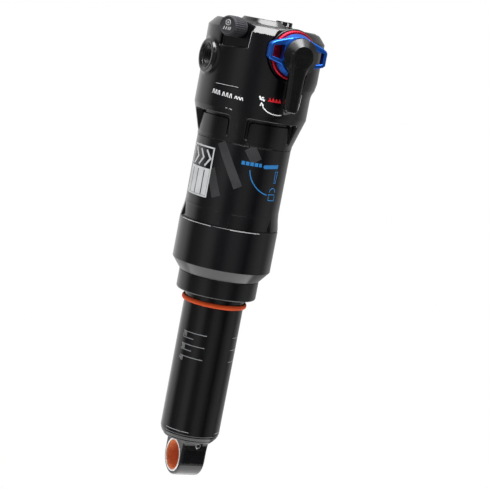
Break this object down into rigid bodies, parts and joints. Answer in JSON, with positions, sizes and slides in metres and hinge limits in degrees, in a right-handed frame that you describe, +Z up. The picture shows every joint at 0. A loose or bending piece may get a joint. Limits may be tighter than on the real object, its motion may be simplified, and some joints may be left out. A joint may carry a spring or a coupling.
{
  "type": "bicycle rear shock absorber",
  "caption": "Inline air-sprung rear shock: trunnion head with air valve and damping controls, sliding damper tube and a bushed bottom eyelet.",
  "frame": {"origin": "centre of the trunnion axis in the head", "axes": "+Z up the shock towards the top of the head, X along the trunnion axis, -Y towards the side with the controls"},
  "size_m": [0.0568, 0.0602, 0.2148],
  "materials": {
    "black_anodised": "satin black anodised, fine bead-blast grain",
    "bare_alloy": "machined",
    "steel": "ground",
    "black_rubber": "moulded",
    "orange_rubber": "moulded",
    "glide_plastic": "machined bearing plastic",
    "spacer_plastic": "moulded",
    "bushing_liner": "filled bearing lining",
    "valve_brass": "turned",
    "cap_plastic": "moulded, knurled",
    "red_anodised": "bright red anodised",
    "blue_anodised": "bright blue anodised",
    "print_white": "pad-printed ink",
    "print_silver": "pad-printed ink",
    "print_red": "pad-printed ink",
    "print_blue": "pad-printed ink"
  },
  "bodies": {
    "head": {"trunnion_head": "black_anodised", "air_can": "black_anodised", "negative_sleeve": "black_anodised", "wiper_collar": "black_anodised", "head_can_seal": "black_rubber", "sleeve_seal": "black_rubber", "wiper_seal": "black_rubber", "guide_bushing": "glide_plastic", "piston_shaft": "steel", "main_piston": "bare_alloy", "main_piston_band": "glide_plastic", "rebound_shims": "steel", "compression_shims": "steel", "piston_nut": "steel", "bottom_out_bumper": "black_rubber", "volume_spacer": "spacer_plastic", "valve_body": "valve_brass", "valve_seal": "black_rubber", "valve_core": "steel", "control_base": "black_anodised", "detent_ball": "steel", "detent_spring": "steel"},
    "damper": {"damper_body": "black_anodised", "air_piston": "bare_alloy", "air_piston_seal": "black_rubber", "air_piston_glide": "glide_plastic", "shaft_seal": "black_rubber", "top_out_bumper": "black_rubber", "bottom_eyelet": "black_anodised", "eyelet_bushing": "bushing_liner", "eyelet_seal": "black_rubber", "charge_port_screw": "steel"},
    "floating_piston_body": {"floating_piston": "bare_alloy", "floating_piston_seal": "black_rubber"},
    "sag_ring": {"sag_o_ring": "orange_rubber"},
    "rebound_adjuster": {"rebound_knob": "red_anodised"},
    "rebound_rod_body": {"rebound_rod": "steel"},
    "compression_adjuster": {"compression_dial": "blue_anodised"},
    "lever": {"threshold_lever": "black_anodised", "control_spindle": "steel"},
    "bottom_out_knob": {"bottom_out_adjuster": "black_anodised"},
    "cap": {"valve_cap": "cap_plastic"},
    "valve_pin_body": {"valve_pin": "steel"}
  },
  "joints": [
    {"name": "shock_stroke", "type": "slide", "parent": "head", "child": "damper", "axis": [0, 0, 1], "range_m": [0, 0.055], "stiffness_N_per_m": 20000},
    {"name": "floating_piston_slide", "type": "slide", "parent": "damper", "child": "floating_piston_body", "axis": [0, 0, 1], "range_m": [-0.0075, 0]},
    {"name": "sag_ring_slide", "type": "slide", "parent": "head", "child": "sag_ring", "axis": [0, 0, 1], "range_m": [-0.058, 0]},
    {"name": "rebound_turn", "type": "hinge", "parent": "head", "child": "rebound_adjuster", "pos_m": [0.003, -0.0228, 0.007], "axis": [0, -1, 0], "range_deg": [-160, 160]},
    {"name": "rebound_rod_slide", "type": "slide", "parent": "head", "child": "rebound_rod_body", "axis": [0, 0, 1], "range_m": [-0.00055, 0.00055]},
    {"name": "compression_turn", "type": "hinge", "parent": "head", "child": "compression_adjuster", "pos_m": [0.003, -0.0228, 0.007], "axis": [0, -1, 0], "range_deg": [-45, 45]},
    {"name": "lever_swing", "type": "hinge", "parent": "head", "child": "lever", "pos_m": [0.003, -0.0228, 0.007], "axis": [0, 1, 0], "range_deg": [0, 90]},
    {"name": "bottom_out_turn", "type": "hinge", "parent": "head", "child": "bottom_out_knob", "pos_m": [0.005, -0.007, 0.0206], "axis": [0, 0, 1], "range_deg": [-150, 150]},
    {"name": "cap_pull", "type": "slide", "parent": "head", "child": "cap", "axis": [-0.8387, -0.5446, 0], "range_m": [0, 0.009]},
    {"name": "valve_pin_press", "type": "slide", "parent": "head", "child": "valve_pin_body", "axis": [0.8387, 0.5446, 0], "range_m": [0, 0.001], "stiffness_N_per_m": 400}
  ],
  "couplings": [
    {"joint": "floating_piston_slide", "follows": "shock_stroke", "ratio": -0.134},
    {"joint": "rebound_turn", "follows": "rebound_rod_slide", "rad_per_m": 5000}
  ]
}
